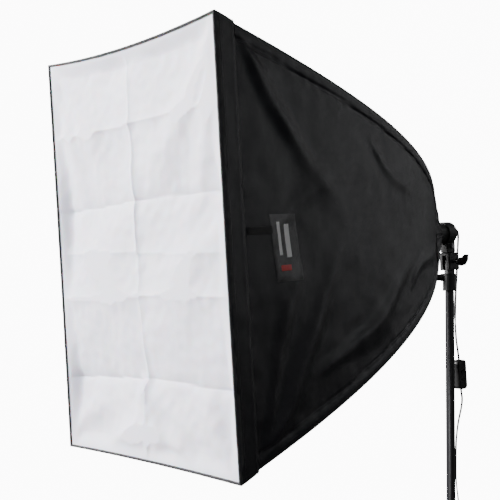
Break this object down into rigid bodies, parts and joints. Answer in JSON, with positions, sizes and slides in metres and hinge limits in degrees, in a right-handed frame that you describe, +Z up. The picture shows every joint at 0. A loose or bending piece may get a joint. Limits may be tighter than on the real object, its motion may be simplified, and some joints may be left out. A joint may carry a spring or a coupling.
{
  "type": "studio softbox",
  "caption": "Rectangular studio softbox on a lamp holder with tilt head, folding ribs, inline-switched lead and folding light stand.",
  "frame": {"origin": "on the floor under the middle of the footprint", "axes": "+Z up, the softbox faces -Y"},
  "size_m": [0.8534, 1.0719, 1.7008],
  "materials": {
    "black_cloth": "satin nylon",
    "white_cloth": "translucent nylon",
    "tube_metal": "satin black",
    "black_plastic": "moulded",
    "chrome": "polished",
    "steel": "drawn",
    "brass": "plated",
    "ceramic": "glazed",
    "lamp_glass": "phosphor white",
    "lamp_plastic": "gloss",
    "rubber": "matt",
    "black_cord": "satin PVC"
  },
  "bodies": {
    "base": {"lower_tube": "tube_metal", "lower_clamp": "black_plastic", "brace_collar": "black_plastic", "cord_to_coil": "black_cord", "cord_coil": "black_cord", "plug": "black_plastic"},
    "mid": {"mid_tube": "tube_metal", "mid_clamp": "black_plastic"},
    "top": {"top_tube": "tube_metal", "spigot": "chrome", "cord_to_mid": "black_cord", "inline_switch": "black_plastic"},
    "adapter": {"stand_adapter": "black_plastic", "cord_to_switch": "black_cord"},
    "head": {"tilt_block": "black_plastic", "tilt_bolt": "chrome", "holder_bracket": "black_plastic", "bracket_bolt": "chrome", "holder_body": "black_plastic", "rear_cap": "black_plastic", "socket_insert": "ceramic", "screw_shell": "brass", "strain_relief": "rubber", "cord_to_pan": "black_cord", "panel_top": "black_cloth", "panel_bottom": "black_cloth", "panel_left": "black_cloth", "panel_right": "black_cloth", "front_skirt": "black_cloth", "diffuser": "white_cloth", "rear_sleeve": "black_cloth", "rib_hub": "black_plastic", "rib_pin_1": "steel", "rib_pin_2": "steel", "rib_pin_3": "steel", "rib_pin_4": "steel"},
    "bulb": {"bulb_cap": "brass", "bulb_ballast": "lamp_plastic", "bulb_spiral": "lamp_glass"},
    "leg_hub": {"leg_collar": "black_plastic"},
    "lower_clamp_knob_body": {"lower_clamp_knob": "black_plastic"},
    "mid_clamp_knob_body": {"mid_clamp_knob": "black_plastic"},
    "adapter_knob_body": {"adapter_knob": "black_plastic"},
    "tilt_knob_body": {"tilt_knob": "black_plastic"},
    "leg_collar_knob_body": {"leg_collar_knob": "black_plastic"},
    "rocker": {"switch_rocker": "black_plastic"},
    "rib_1_body": {"rib_1": "steel"},
    "rib_2_body": {"rib_2": "steel"},
    "rib_3_body": {"rib_3": "steel"},
    "rib_4_body": {"rib_4": "steel"},
    "leg_1_body": {"leg_1": "tube_metal", "foot_1": "rubber"},
    "brace_1_body": {"brace_1": "tube_metal"},
    "leg_2_body": {"leg_2": "tube_metal", "foot_2": "rubber"},
    "brace_2_body": {"brace_2": "tube_metal"},
    "leg_3_body": {"leg_3": "tube_metal", "foot_3": "rubber"},
    "brace_3_body": {"brace_3": "tube_metal"}
  },
  "joints": [
    {"name": "mid_slide", "type": "slide", "parent": "base", "child": "mid", "axis": [0, 0, 1], "range_m": [-0.13, 0.36], "deforming": ["cord_to_coil"]},
    {"name": "top_slide", "type": "slide", "parent": "mid", "child": "top", "axis": [0, 0, 1], "range_m": [-0.44, 0.04], "deforming": ["cord_to_mid"]},
    {"name": "head_pan", "type": "hinge", "parent": "top", "child": "adapter", "pos_m": [0, 0.285, 1.3], "axis": [0, 0, 1], "range_deg": [-120, 120], "deforming": ["cord_to_switch"]},
    {"name": "head_tilt", "type": "hinge", "parent": "adapter", "child": "head", "pos_m": [0, 0.285, 1.35], "axis": [1, 0, 0], "range_deg": [-75, 50], "deforming": ["cord_to_pan"]},
    {"name": "bulb_turn", "type": "hinge", "parent": "head", "child": "bulb", "pos_m": [0, 0.18087, 1.40251], "axis": [0, -0.9973, -0.0732], "continuous": true},
    {"name": "rib_1_fold", "type": "hinge", "parent": "head", "child": "rib_1_body", "pos_m": [0.02412, 0.16045, 1.43488], "axis": [0.8137, 0.0426, -0.5797], "range_deg": [0, 26], "deforming": ["panel_top", "panel_bottom", "panel_left", "panel_right", "front_skirt", "diffuser", "rear_sleeve"]},
    {"name": "rib_2_fold", "type": "hinge", "parent": "head", "child": "rib_2_body", "pos_m": [-0.02412, 0.16045, 1.43488], "axis": [0.8137, -0.0426, 0.5797], "range_deg": [-0.5, 26.5]},
    {"name": "rib_3_fold", "type": "hinge", "parent": "head", "child": "rib_3_body", "pos_m": [-0.02412, 0.1654, 1.36752], "axis": [-0.8137, -0.0426, 0.5797], "range_deg": [-0.5, 26.5]},
    {"name": "rib_4_fold", "type": "hinge", "parent": "head", "child": "rib_4_body", "pos_m": [0.02412, 0.1654, 1.36752], "axis": [-0.8137, 0.0426, -0.5797], "range_deg": [-0.5, 26.5]},
    {"name": "leg_hub_slide", "type": "slide", "parent": "base", "child": "leg_hub", "axis": [0, 0, 1], "range_m": [-0.001, 0.1913]},
    {"name": "leg_1_fold", "type": "hinge", "parent": "leg_hub", "child": "leg_1_body", "pos_m": [0, 0.254, 0.4], "axis": [1, 0, 0], "range_deg": [0, 41.1]},
    {"name": "brace_1_fold", "type": "hinge", "parent": "base", "child": "brace_1_body", "pos_m": [0, 0.254, 0.03045], "axis": [-1, 0, 0], "range_deg": [-0.5, 41.6]},
    {"name": "leg_2_fold", "type": "hinge", "parent": "leg_hub", "child": "leg_2_body", "pos_m": [0.02685, 0.3005, 0.4], "axis": [-0.5, 0.866, 0], "range_deg": [0, 41.6]},
    {"name": "brace_2_fold", "type": "hinge", "parent": "base", "child": "brace_2_body", "pos_m": [0.02685, 0.3005, 0.03045], "axis": [0.5, -0.866, 0], "range_deg": [-0.5, 41.6]},
    {"name": "leg_3_fold", "type": "hinge", "parent": "leg_hub", "child": "leg_3_body", "pos_m": [-0.02685, 0.3005, 0.4], "axis": [-0.5, -0.866, 0], "range_deg": [0, 41.6]},
    {"name": "brace_3_fold", "type": "hinge", "parent": "base", "child": "brace_3_body", "pos_m": [-0.02685, 0.3005, 0.03045], "axis": [0.5, 0.866, 0], "range_deg": [-0.5, 41.6]},
    {"name": "lower_clamp_knob_turn", "type": "hinge", "parent": "base", "child": "lower_clamp_knob_body", "pos_m": [0, 0.285, 0.6463], "axis": [-0.9397, -0.342, 0], "continuous": true},
    {"name": "mid_clamp_knob_turn", "type": "hinge", "parent": "mid", "child": "mid_clamp_knob_body", "pos_m": [0, 0.285, 0.8213], "axis": [0.9397, -0.342, 0], "continuous": true},
    {"name": "adapter_knob_turn", "type": "hinge", "parent": "adapter", "child": "adapter_knob_body", "pos_m": [0, 0.285, 1.3155], "axis": [-0.6334, -0.7738, 0], "continuous": true},
    {"name": "leg_collar_knob_turn", "type": "hinge", "parent": "leg_hub", "child": "leg_collar_knob_body", "pos_m": [0, 0.285, 0.4], "axis": [0.866, -0.5, 0], "continuous": true},
    {"name": "tilt_knob_turn", "type": "hinge", "parent": "head", "child": "tilt_knob_body", "pos_m": [0, 0.285, 1.35], "axis": [1, 0, 0], "continuous": true},
    {"name": "switch_rock", "type": "hinge", "parent": "top", "child": "rocker", "pos_m": [0.0075, 0.317, 1.109], "axis": [0, 0.9962, 0.0872], "range_deg": [-13, 0]}
  ],
  "couplings": [
    {"joint": "rib_2_fold", "follows": "rib_1_fold", "ratio": 1},
    {"joint": "rib_3_fold", "follows": "rib_1_fold", "ratio": 1},
    {"joint": "rib_4_fold", "follows": "rib_1_fold", "ratio": 1},
    {"joint": "leg_2_fold", "follows": "leg_1_fold", "ratio": 1},
    {"joint": "leg_3_fold", "follows": "leg_1_fold", "ratio": 1},
    {"joint": "brace_1_fold", "follows": "leg_1_fold", "ratio": 1},
    {"joint": "brace_2_fold", "follows": "leg_1_fold", "ratio": 1},
    {"joint": "brace_3_fold", "follows": "leg_1_fold", "ratio": 1},
    {"joint": "leg_hub_slide", "follows": "leg_1_fold", "m_per_rad": 0.26396}
  ]
}
